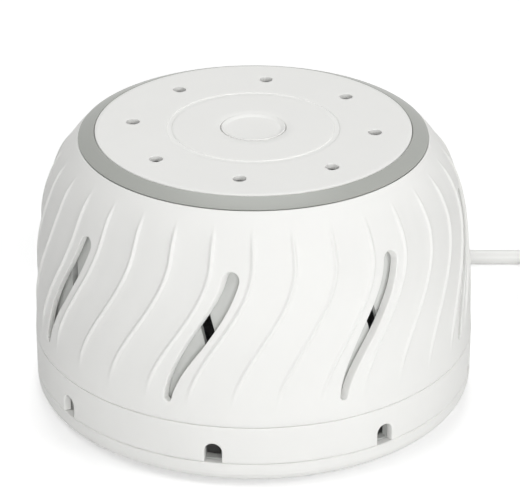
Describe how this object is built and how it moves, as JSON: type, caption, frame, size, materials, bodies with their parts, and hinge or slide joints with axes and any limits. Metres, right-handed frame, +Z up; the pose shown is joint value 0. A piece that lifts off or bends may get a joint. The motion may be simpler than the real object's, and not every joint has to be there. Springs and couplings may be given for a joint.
{
  "type": "white noise sound machine",
  "caption": "Round fan sound machine with a ribbed turning cap, S-shaped air slots, a ported collar, a press switch on top, a motor fan inside and a mains cord.",
  "frame": {"origin": "on the resting surface, under the centre of the round body", "axes": "+Z up along the body's axis, front towards -Y, the cord leaves at the back towards +Y"},
  "size_m": [0.2666, 0.1961, 0.0927],
  "materials": {
    "white_plastic": "fine satin moulding",
    "drum_plastic": "satin moulding",
    "grey_plastic": "satin moulding",
    "dark_plastic": "satin moulding",
    "natural_nylon": "smooth",
    "dark_rubber": "matt",
    "cord_vinyl": "satin vinyl",
    "wire_insulation": "satin vinyl",
    "zinc_steel": "zinc plated",
    "bright_steel": "ground",
    "dark_steel": "punched and oiled sheets",
    "die_cast_zinc": "as cast",
    "copper": "enamelled",
    "bronze": "sintered, oiled",
    "blade_brass": "bright, stamped"
  },
  "bodies": {
    "base": {"base_pan": "white_plastic", "rubber_feet": "dark_rubber", "drum_screws": "zinc_steel", "inner_drum": "drum_plastic", "switch_body": "dark_plastic", "switch_nut": "zinc_steel", "button_spring": "bright_steel", "lamination_stack": "dark_steel", "shading_rings": "copper", "coil_bobbin": "dark_plastic", "coil_winding": "copper", "lower_bracket": "die_cast_zinc", "upper_bracket": "die_cast_zinc", "bearing_bushes": "bronze", "motor_screws": "zinc_steel", "motor_grommets": "dark_rubber", "lead_wires": "wire_insulation", "wire_connectors": "natural_nylon", "strain_relief": "cord_vinyl", "power_cord": "cord_vinyl", "cord_coil": "cord_vinyl", "plug_body": "cord_vinyl", "plug_blades": "blade_brass"},
    "collar": {"tone_collar": "white_plastic"},
    "cap": {"cap_shell": "white_plastic", "trim_ring": "grey_plastic", "top_plate": "white_plastic", "cap_screws": "zinc_steel", "glide_washers": "natural_nylon"},
    "rotor": {"fan_wheel": "dark_plastic", "hub_set_screw": "zinc_steel", "motor_shaft": "bright_steel", "rotor_core": "bright_steel", "thrust_washers": "natural_nylon"},
    "button": {"power_button": "white_plastic", "switch_plunger": "natural_nylon"}
  },
  "joints": [
    {"name": "cap_turn", "type": "hinge", "parent": "base", "child": "cap", "pos_m": [0, 0, 0.084], "axis": [0, 0, 1], "range_deg": [-12, 14]},
    {"name": "collar_turn", "type": "hinge", "parent": "base", "child": "collar", "pos_m": [0, 0, 0.0157], "axis": [0, 0, 1], "range_deg": [0, 12]},
    {"name": "fan_spin", "type": "hinge", "parent": "base", "child": "rotor", "pos_m": [0, 0, 0.026], "axis": [0, 0, 1], "continuous": true},
    {"name": "button_press", "type": "slide", "parent": "base", "child": "button", "axis": [0, 0, -1], "range_m": [0, 0.002], "stiffness_N_per_m": 400, "springref_m": -0.002, "deforming": ["button_spring"]}
  ]
}
